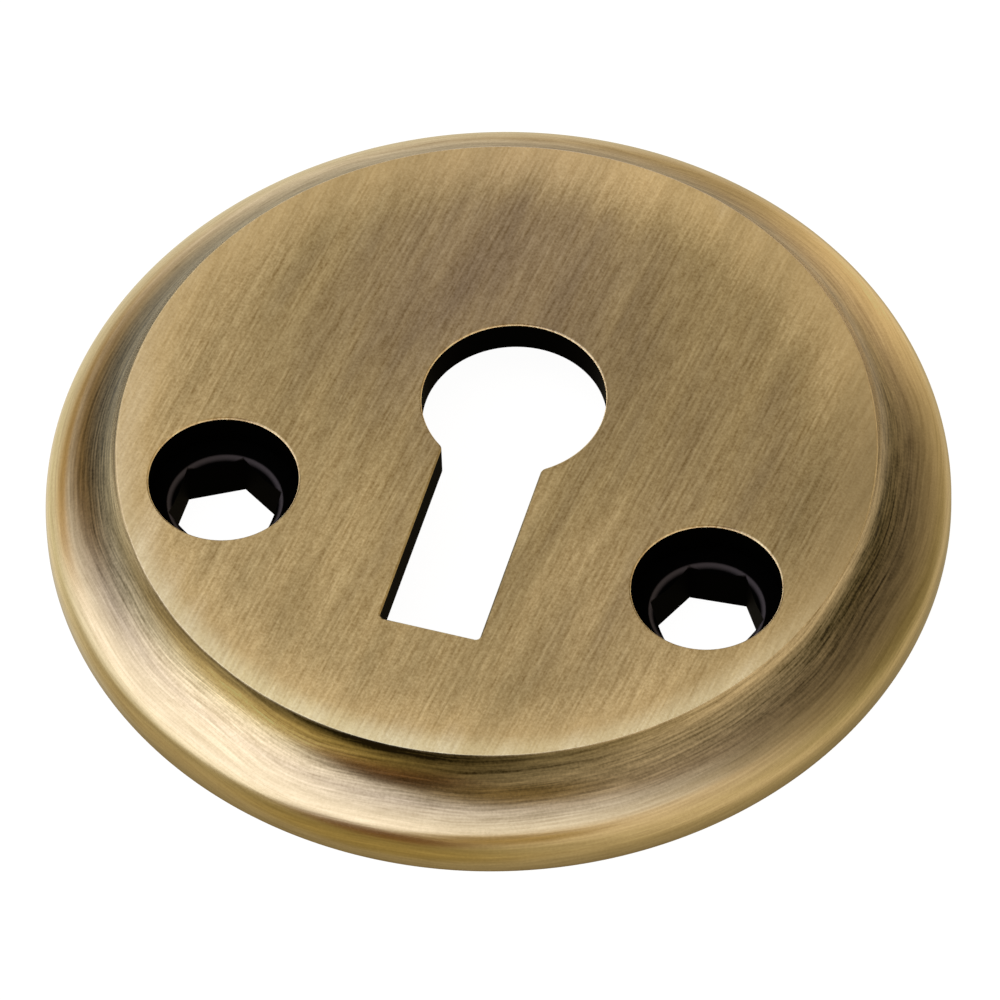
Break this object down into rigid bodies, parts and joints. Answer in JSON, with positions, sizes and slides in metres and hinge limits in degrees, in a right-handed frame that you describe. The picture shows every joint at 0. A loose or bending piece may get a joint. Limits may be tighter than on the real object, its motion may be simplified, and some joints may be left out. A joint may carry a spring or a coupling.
{
  "type": "keyhole escutcheon",
  "caption": "Round stepped keyhole escutcheon in antique brass, with a keyhole through its flat face and counterbored hexagonal screw holes beside it.",
  "frame": {"origin": "disc axis at the back face that lies on the door", "axes": "+Z out of the visible face, +Y towards the round end of the keyhole, +X to the right as seen from the front"},
  "size_m": [0.0544, 0.0544, 0.0055],
  "materials": {
    "antique_brass": "antique: blackened, then brushed and lacquered"
  },
  "bodies": {
    "root": {"escutcheon_plate": "antique_brass"}
  },
  "joints": []
}
